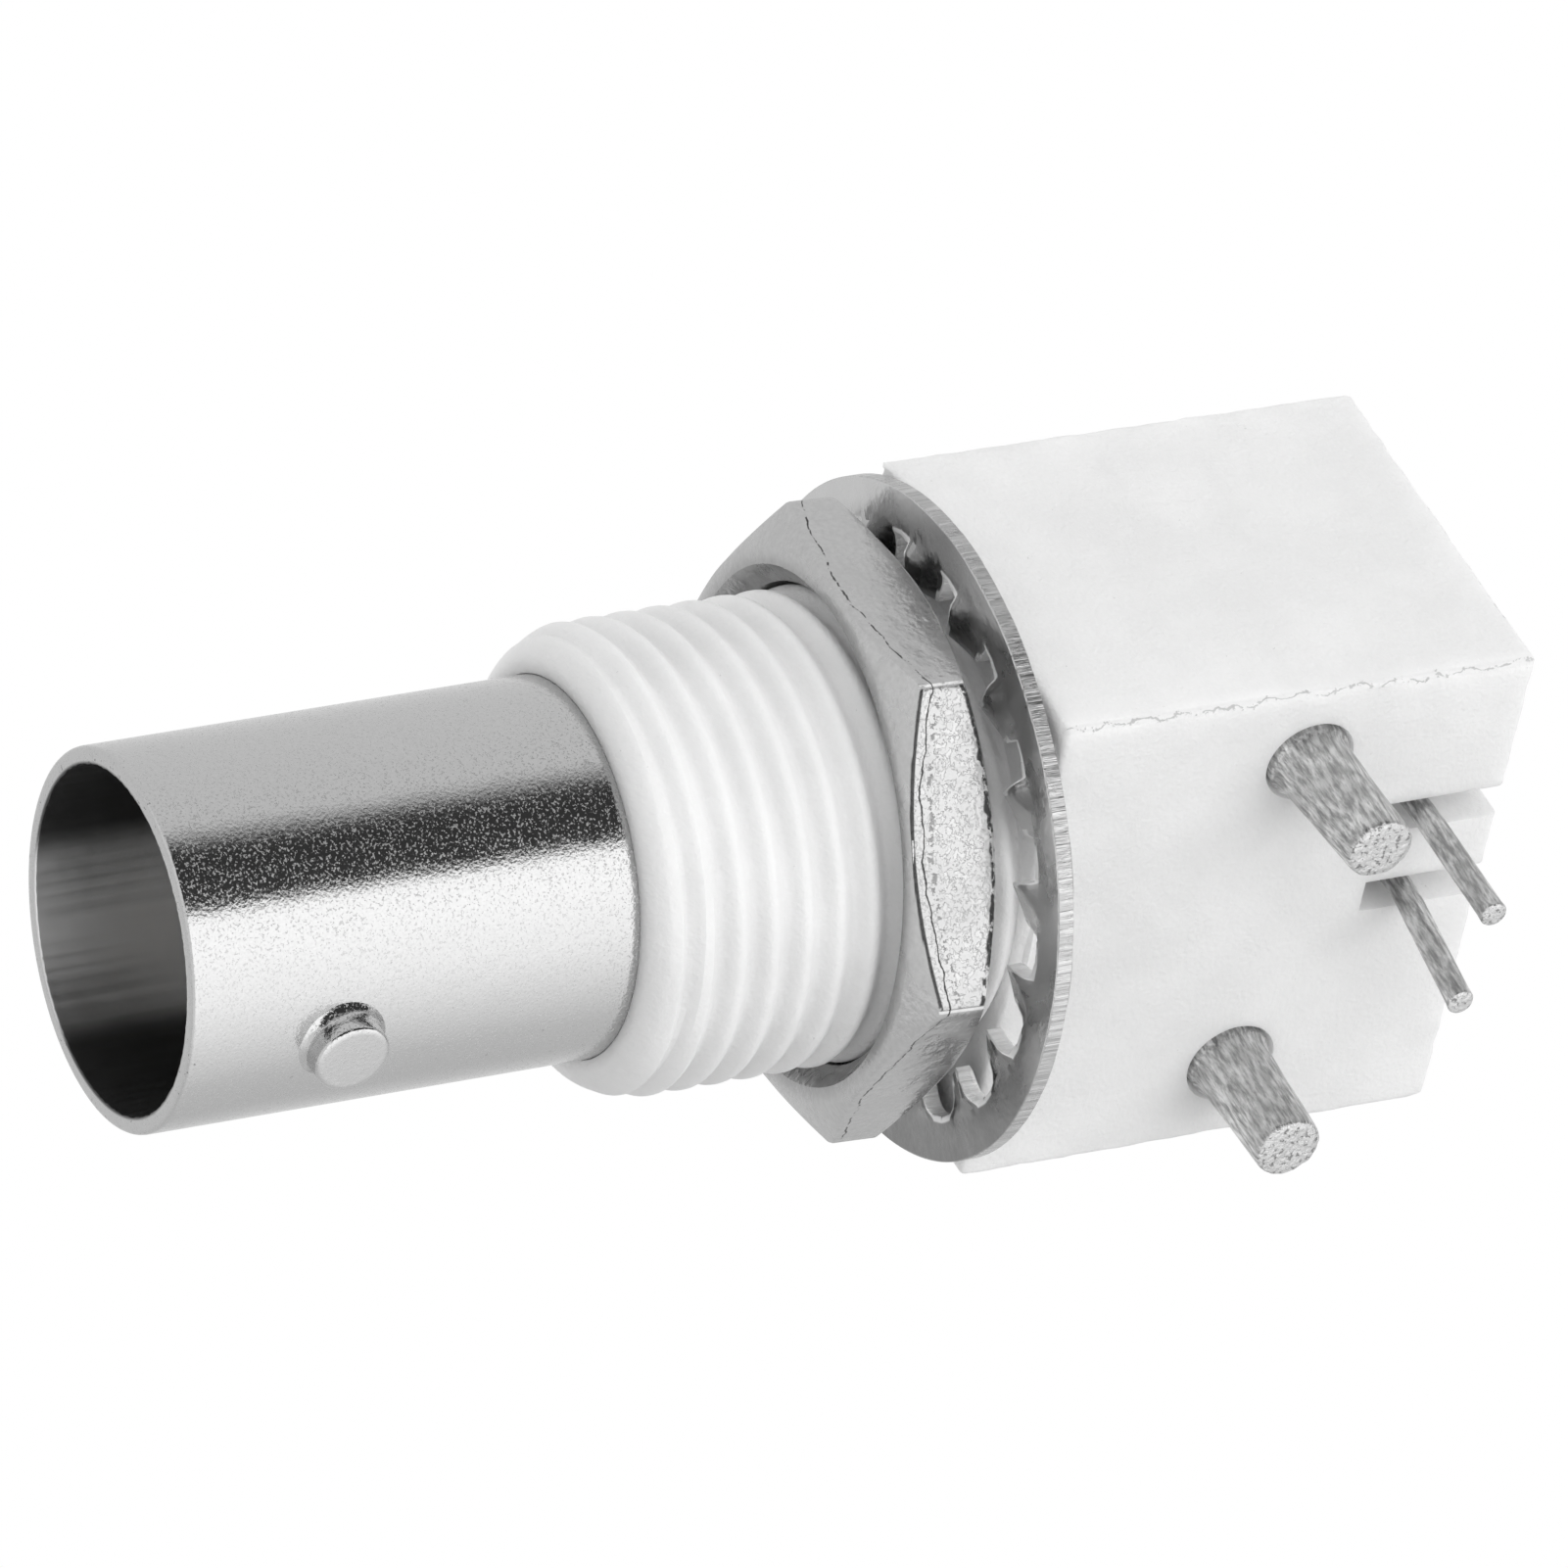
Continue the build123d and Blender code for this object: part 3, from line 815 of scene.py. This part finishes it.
def moulding(material, thread):
    """Block and threaded bushing in one, with bores, pin slots, post holes and lead channels."""
    made = block()
    threaded = nodes_modifier(bushing(), thread, {"Crest radius": CREST_RADIUS * MM, "Side": 1.0,
                              "Start": THREAD_START, "Finish": material})
    combine(made, threaded, "UNION")
    bore = [(SHELL_RADIUS + 0.02, BUSHING_FRONT - 1.0), (SHELL_RADIUS + 0.02, BLOCK_FRONT),
            (TAIL_RADIUS + 0.02, BLOCK_FRONT), (TAIL_RADIUS + 0.02, SHELL_REAR)]
    combine(made, plug("bore", bore, 160, (0.0, AXIS_HEIGHT), False))
    for x, start, height in (SIGNAL, GROUND):
        top = height + WIRE_RADIUS + 0.3
        half = SLOT_WIDTH / 2
        combine(made, box("slot", (x - half, SLOT_START, -1.0), (x + half, BLOCK_BACK + 1.0, top)))
        path = lead_path(x, start, height)
        path.append(((x, PIN_Y, -1.0), (0.0, -1.0)))
        combine(made, capped("channel", lead_rings(path, WIRE_RADIUS + 0.02, 24)))
    for x, y, *_ in POSTS.values():
        hole = [(1.22, -0.5), (1.2, 0.0), (1.17, 0.1), (1.13, 0.3), (1.1, 0.34), (1.1, 6.0)]
        combine(made, plug("hole", hole, 64, (x, y), True))
    return complete(made, "jack", "housing", material)


# The metal pieces

def barrel(material):
    """The bayonet shell with its rim, its bores and its two lugs."""
    outline = rounded([
        (MOUTH_BORE, MOUTH, 0.05), (SHELL_RADIUS, MOUTH, 0.13), (SHELL_RADIUS, -26.0), (SHELL_RADIUS, -20.0),
        (SHELL_RADIUS, BLOCK_FRONT), (TAIL_RADIUS, BLOCK_FRONT), (TAIL_RADIUS, SHELL_REAR),
        (TAIL_BORE, SHELL_REAR), (TAIL_BORE, PLUG_FLOOR), (PLUG_BORE, PLUG_FLOOR), (PLUG_BORE, -23.7, 0.3),
        (MOUTH_BORE, -24.2, 0.3)], 0.05)

    def wobble(radius, y, angle):
        if y > MOUTH + 0.1 or radius > 4.6:
            return 0.0
        return 0.035 * noise.noise(Vector((cos(angle), sin(angle), 0.0)) * 26.0)

    made = turned("barrel", outline, 256, wobble)
    profile = [(0.2, 4.55), (1.2, 4.55), (1.2, 4.74), (1.13, 4.82), (1.03, 4.88), (0.99, 4.98),
               (LUG_RADIUS, 5.08), (LUG_RADIUS, 5.38), (0.965, 5.43), (0.93, 5.47), (0.87, 5.495),
               (0.8, LUG_TIP), (0.2, LUG_TIP)]
    for side in (-1, 1):
        rings = []
        for radius, height in profile:
            ring = []
            for a in around(72):
                x, along = radius * cos(a), radius * sin(a)
                # near the root the lug follows the barrel's curve, at its end it is flat
                sunk = SHELL_RADIUS - (SHELL_RADIUS ** 2 - x * x) ** 0.5
                share = held((5.0 - height) / 0.18)
                ring.append((x, LUG_Y + along, AXIS_HEIGHT + side * (height - sunk * share)))
            rings.append(ring)
        combine(made, capped("lug", rings), "UNION")
    channel = lead_path(*GROUND)
    combine(made, capped("seat", lead_rings(channel, WIRE_RADIUS + 0.02, 24)))
    return complete(made, "jack", "bayonet_shell", material, 40.0)


def chamfer_drop(reach):
    """How far the chamfer lies behind the nut's face at a radius."""
    return CHAMFER_AT_FLAT + CHAMFER_TO_CORNER * (reach - NUT_FLAT) / (NUT_CORNER - NUT_FLAT)


def nut(material, thread):
    """The hexagon nut: turned chamfers that meet the flats in curves, countersinks and a thread."""
    per_flat, inner_steps = 36, 26
    half = (NUT_BACK - NUT_FRONT) / 2
    span = half - COUNTERSINK - 0.04
    rows = []
    angles = []
    for index in range(6 * per_flat):
        share = 0.5 - 0.5 * cos(pi * (index % per_flat) / per_flat)
        angles.append(radians(NUT_CORNER_ANGLE) + (index // per_flat + share) * pi / 3)
    for angle in angles:
        local = (angle - radians(NUT_CORNER_ANGLE)) % (pi / 3) - pi / 6
        blunt = NUT_CORNER - 0.09 * max(0.0, 1.0 - (pi / 6 - abs(local)) / 0.05) ** 2
        reach = min(NUT_FLAT / cos(local), blunt)
        drop = chamfer_drop(reach)
        outline = [(NUT_BORE + 0.52, -half), (NUT_BORE + 0.6, -half), (NUT_FLAT - 0.25, -half),
                   (NUT_FLAT - 0.12, -half + 0.008), (NUT_FLAT - 0.02, -half + 0.03)]
        outline += [(NUT_FLAT + (reach - NUT_FLAT) * share, -half + 0.03 + (drop - 0.03) * share)
                    for share in (0.33, 0.66, 0.92)]
        outline += [(reach - 0.015, -half + drop), (reach, -half + drop + 0.05), (reach, -half + drop + 0.3)]
        outline += [(reach, 0.0)] + [(radius, -place) for radius, place in reversed(outline)]
        outline += [(NUT_BORE + 0.04, half - COUNTERSINK)]
        outline += [(NUT_BORE, span - 2 * span * step / inner_steps) for step in range(inner_steps + 1)]
        outline += [(NUT_BORE + 0.04, -half + COUNTERSINK)]
        rows.append([(radius * cos(angle), NUT_FRONT + half + place, AXIS_HEIGHT + radius * sin(angle))
                     for radius, place in outline])
    count = len(rows[0])
    made = mesh_object("panel_nut_turned", [point for row in rows for point in row],
                       skin(len(rows), count, True))
    threaded, edge, rear, coarse = [], [], [], []
    for vertex in made.data.vertices:
        x, y, z = vertex.co / MM
        radius = hypot(x, z - AXIS_HEIGHT)
        threaded.append(radius < NUT_BORE + 0.01)
        turn = (atan2(z - AXIS_HEIGHT, x) - radians(NUT_CORNER_ANGLE)) % (pi / 3) - pi / 6
        drop = chamfer_drop(NUT_FLAT / cos(turn))
        outside = radius > NUT_FLAT - 0.01
        edge.append(y - NUT_FRONT - drop if outside else -1.0)
        rear.append(y - NUT_BACK + drop if outside else -1.0)
        facing = x * cos(radians(COARSE_FLAT_ANGLE)) + (z - AXIS_HEIGHT) * sin(radians(COARSE_FLAT_ANGLE))
        coarse.append(1.0 if facing > NUT_FLAT - 0.03 else 0.0)
    store(made, "threaded", "BOOLEAN", threaded)
    for name, values in (("edge", edge), ("rear", rear), ("coarse", coarse)):
        store(made, name, "FLOAT", values)
    nodes_modifier(made, thread, {"Crest radius": NUT_BORE * MM, "Depth": 0.0003, "Side": -1.0,
                                  "Start": THREAD_START, "Blend": 0.00002, "Finish": material})
    middle = Vector((0.0, (NUT_FRONT + NUT_BACK) / 2, AXIS_HEIGHT)) * MM
    tilt = Matrix.Rotation(radians(NUT_TILT[0]), 4, "X") @ Matrix.Rotation(radians(NUT_TILT[1]), 4, "Z")
    shift = Matrix.Translation(Vector((0.0, NUT_SHIFT * MM, 0.0)))
    made.data.transform(shift @ Matrix.Translation(middle) @ tilt @ Matrix.Translation(-middle))
    return complete(made, "nut", "panel_nut", material, 22.0)


def washer(material, teeth):
    """The lock washer, repeated from one sector whose tooth is twisted out of the ring."""
    half_sector = pi / TOOTH_COUNT
    columns = 40
    depths = (0.0, 0.03, 0.1, 0.22, 0.36, 0.5, 0.62, 0.72, 0.82, 0.9, 0.95, 0.98, 1.0)
    front, back, reach, sheared, burr_glint = [], [], [], [], []
    for column in range(columns + 1):
        angle = -half_sector + 2 * half_sector * column / columns
        flank = held((abs(angle) - TOOTH_TIP_HALF) / (TOOTH_ROOT_HALF - TOOTH_TIP_HALF))
        inner = TOOTH_TIP + (TOOTH_ROOT - TOOTH_TIP) * eased(flank)
        inner += 0.05 * max(0.0, (abs(angle) - TOOTH_ROOT_HALF) / (half_sector - TOOTH_ROOT_HALF))
        for share in depths:
            radius = inner + (WASHER_OUTER - inner) * share
            across = held(radius * angle, -TWIST_REACH, TWIST_REACH)
            rise = eased(held((TOOTH_ROOT + 0.12 - radius) / 0.35))
            lift = -tan(radians(TOOTH_TWIST)) * across * rise
            edge = 0.03 if share in (0.0, 1.0) else 0.0
            for side, rows in ((-1, front), (1, back)):
                y = lift + side * (WASHER_THICK / 2 - edge)
                rows.append((radius * cos(angle), y, radius * sin(angle)))
            reach.append(rise)
            sheared.append(1.0 if share in (0.0, 1.0) else 0.0)
            # marks the burrs at the tooth tips for their painted glint
            burr_glint.append(1.0 if share < 0.11 and abs(angle) > 0.8 * TOOTH_TIP_HALF else 0.0)
    width = len(depths)
    offset = len(front)
    faces = []
    for column in range(columns):
        at = column * width
        for row in range(width - 1):
            a, b, c, d = at + row, at + row + 1, at + width + row + 1, at + width + row
            faces.append((a, b, c, d))
            faces.append((offset + d, offset + c, offset + b, offset + a))
        for row in (0, width - 1):
            faces.append((at + row, at + width + row, offset + at + width + row, offset + at + row))
    made = plain_object("lock_ring", front + back, faces)
    made.data.transform(Matrix.Rotation(radians(-TOOTH_START), 4, "Y"))
    for name, values in (("reach", reach), ("sheared", sheared), ("burr_glint", burr_glint)):
        store(made, name, "FLOAT", values * 2)
    nodes_modifier(made, teeth, {"Teeth": TOOTH_COUNT, "Unevenness": 0.00004, "Finish": material,
                                 "Centre": (0.0, WASHER_Y * MM, WASHER_Z * MM)})
    face_outwards(made, False)
    return complete(made, "washer", "lock_washer", material, 30.0)


def post(name, side, material):
    """A board post: pressed shank, flared root, a little taper and a rough sheared end."""
    outline = [(0.98, 6.0), (1.08, 5.9), (1.08, 0.0), (1.05, -0.05), (1.0, -0.14), (0.975, -0.28)]
    outline += [(0.97 - 0.1 * share, -0.3 - 2.9 * share) for share in (0.15, 0.3, 0.45, 0.6, 0.75, 0.9, 1)]
    outline += [(0.86, -3.27), (0.84, -3.33), (0.78, -3.37), (0.6, -3.385), (0.35, POST_END),
                (0.12, POST_END)]
    count = 64
    rings = []
    middle_x, middle_y, lean_x, lean_y = POSTS[side]
    for radius, z in outline:
        ring = []
        share = max(0.0, z / POST_END)
        for a in around(count):
            spot = Vector((cos(a) * 1.3 + 5 * side, sin(a) * 1.3, z * 0.35))
            r = radius + (0.02 * noise.noise(spot * 2.2) if z < -0.1 else 0.0)
            rough = 0.035 * noise.noise(Vector((radius * cos(a), radius * sin(a), side)) * 5.0)
            ring.append((middle_x + lean_x * share + r * cos(a), middle_y + lean_y * share + r * sin(a),
                         z + (rough if z < -3.3 else 0.0)))
        rings.append(ring)
    made = capped(name, rings)
    return complete(made, "jack", "board_post_right" if side > 0 else "board_post_left",
                    material, 50.0)


def lead(name, route, node_name, material, lean=(0.0, 0.0)):
    """A bent lead with a slightly spread, cut end, leaning off the upright below the board face."""
    x, start, height = route
    line = lead_path(x, start, height)
    rings = lead_rings(line, WIRE_RADIUS, 32)
    for z, radius in ((-0.5, 0.335), (-1.0, 0.34), (-2.0, 0.34), (-3.0, 0.34), (-3.7, 0.342), (-3.86, 0.352),
                      (-3.93, 0.355), (-3.97, 0.33), (-3.99, 0.26), (WIRE_END, 0.12)):
        share = z / WIRE_END
        rings += lead_rings([((x + lean[0] * share, PIN_Y + lean[1] * share, z), (0.0, -1.0))], radius, 32)
    made = capped(name, rings)
    return complete(made, "jack", node_name, material, 50.0)


# Stage, light and camera

def floor_material():
    """Pale and lit for the camera above it, clear to every other ray and from below."""
    made, tree, shader = principled("pale floor", Roughness=0.9, Base_Color=grey(0.9),
                                    Specular_IOR_Level=0.0)
    seen = node(tree, "ShaderNodeLightPath").outputs["Is Camera Ray"]
    behind = node(tree, "ShaderNodeNewGeometry").outputs["Backfacing"]
    shown = calc(tree, "MULTIPLY", seen, calc(tree, "SUBTRACT", 1.0, behind))
    mixed = node(tree, "ShaderNodeMixShader", {0: shown})
    tree.links.new(node(tree, "ShaderNodeBsdfTransparent").outputs[0], mixed.inputs[1])
    tree.links.new(shader.outputs[0], mixed.inputs[2])
    tree.links.new(mixed.outputs[0], tree.nodes["Material Output"].inputs["Surface"])
    return made


def floor():
    """A plain floor just under the ends of the pins."""
    corners = [(x * FLOOR_HALF, y * FLOOR_HALF, FLOOR_Z) for x, y in ((-1, -1), (1, -1), (1, 1), (-1, 1))]
    made = plain_object("floor", corners, [(0, 1, 2, 3)])
    made.data.materials.append(floor_material())


def world():
    """White for the camera and in reflections, softer where it lights the object."""
    made = bpy.data.worlds.new("studio")
    bpy.context.scene.world = made
    made.use_nodes = True
    tree = made.node_tree
    path = node(tree, "ShaderNodeLightPath").outputs
    seen = calc(tree, "MAXIMUM", path["Is Camera Ray"],
                calc(tree, "MAXIMUM", path["Is Glossy Ray"], path["Is Transmission Ray"]))
    strength = node(tree, "ShaderNodeMapRange", {"Value": seen, "To Min": WORLD_LIGHT,
                    "To Max": 1.0}).outputs[0]
    background = tree.nodes["Background"]
    background.inputs["Color"].default_value = grey(1.0)
    tree.links.new(strength, background.inputs["Strength"])


def lamp(name, azimuth, elevation, distance, width, height, brightness):
    """A soft square lamp aimed at the object; azimuth 0 is at -Y and 90 at +X, brightness is its glow."""
    a, e = radians(azimuth), radians(elevation)
    out = Vector((sin(a) * cos(e), -cos(a) * cos(e), sin(e)))
    data = bpy.data.lights.new(name, "AREA")
    data.shape = "RECTANGLE"
    data.size = width
    data.size_y = height
    data.energy = brightness * pi * width * height
    made = bpy.data.objects.new(name, data)
    made.location = LAMP_AIM + out * distance
    made.rotation_mode = "QUATERNION"
    made.rotation_quaternion = out.to_track_quat("Z", "Y")
    unseen(made, "camera", "glossy")
    bpy.context.scene.collection.objects.link(made)


def unseen(made, *rays):
    """Hides an object from some kinds of ray."""
    for ray in rays:
        setattr(made, "visible_" + ray, False)


def glow(name):
    """A material that only glows: itself, its nodes and its emission node."""
    made, tree = new_material(name)
    shine = node(tree, "ShaderNodeEmission", {"Strength": 1.0})
    tree.links.new(shine.outputs[0], tree.nodes["Material Output"].inputs["Surface"])
    return made, tree, shine


def tent():
    """A round tent along the barrel, seen only in reflections; its glow depends on the angle round it."""
    count = 128
    points = [(250.0 * cos(a), y, AXIS_HEIGHT + 250.0 * sin(a)) for y in (-350.0, 600.0)
              for a in around(count)]
    made = plain_object("tent", points, skin(2, count, False))
    material, tree, shine = glow("tent")
    place = node(tree, "ShaderNodeTexCoord").outputs["Object"]
    x, _, z = parts(tree, place)
    turn = calc(tree, "ARCTAN2", calc(tree, "SUBTRACT", z, AXIS_HEIGHT * MM), x)
    share = calc(tree, "MULTIPLY_ADD", turn, 0.5 / pi, 0.5)
    stops = node(tree, "ShaderNodeValToRGB", {"Fac": share})
    # a ramp's colours stop at 1, so it holds half of each level and the strength doubles them
    band = stops.color_ramp.elements
    band[0].color = band[1].color = grey(TENT[0][1] / 2)
    for angle, level in TENT[1:-1]:
        band.new((angle + 180.0) / 360.0).color = grey(level / 2)
    tree.links.new(stops.outputs[0], shine.inputs["Color"])
    shine.inputs["Strength"].default_value = 2.0
    made.data.materials.append(material)
    unseen(made, "camera", "diffuse", "shadow", "transmission")


def flag():
    """A grey card low on one side that keeps some of the soft light off, unseen in reflections."""
    out = FLAG_SIDE.normalized()
    turn = out.to_track_quat("Z", "Y").to_matrix()
    corners = [out * 180.0 + turn @ Vector((side * 150.0, rise * 200.0, 0.0))
               for side, rise in ((-1, -1), (1, -1), (1, 1), (-1, 1))]
    made = plain_object("flag", corners, [(0, 1, 2, 3)])
    material, _, shine = glow("flag")
    shine.inputs["Color"].default_value = grey(0.4)
    made.data.materials.append(material)
    unseen(made, "camera", "glossy", "shadow", "transmission")


def camera():
    """The photograph's view, from below the board face and to one side of the mouth."""
    data = bpy.data.cameras.new("camera")
    data.sensor_width = 36.0
    data.lens = CAMERA_LENS
    data.clip_start = 0.01
    data.clip_end = 20.0
    made = bpy.data.objects.new("camera", data)
    back = CAMERA_BACK.normalized()
    up = back.cross(CAMERA_RIGHT).normalized()
    turn = Matrix((up.cross(back), up, back)).transposed()
    made.matrix_world = Matrix.Translation(CAMERA_PLACE * MM) @ turn.to_4x4()
    bpy.context.scene.collection.objects.link(made)
    bpy.context.scene.camera = made


THREAD = thread_tree()
TEETH = tooth_ring_tree()

post_metal = tinned_metal("tinned post", 9.0, -3.36)
wire_metal = tinned_metal("tinned wire", 9.0, -3.975)

moulding(white_plastic(), THREAD)
barrel(bright_nickel())
nut(nut_nickel(), THREAD)
washer(washer_nickel(), TEETH)
post("post_left", -1, post_metal)
post("post_right", 1, post_metal)
lead("signal_lead", SIGNAL, "signal_pin", wire_metal, SIGNAL_LEAN)
lead("ground_lead", GROUND, "ground_pin", wire_metal)
for cad_node, finish in (("insulator", dielectric()), ("center_socket", gold_plate())):
    shown = frame["nodes"][cad_node]
    shown.data.materials.clear()
    shown.data.materials.append(finish)

floor()
world()
lamp("key softbox", 120.0, -51.0, 0.3, 0.28, 0.28, 1.95)
lamp("top softbox", -30.0, 70.0, 0.35, 0.3, 0.3, 0.9)
tent()
flag()
camera()
bpy.context.scene.view_settings.view_transform = "Standard"
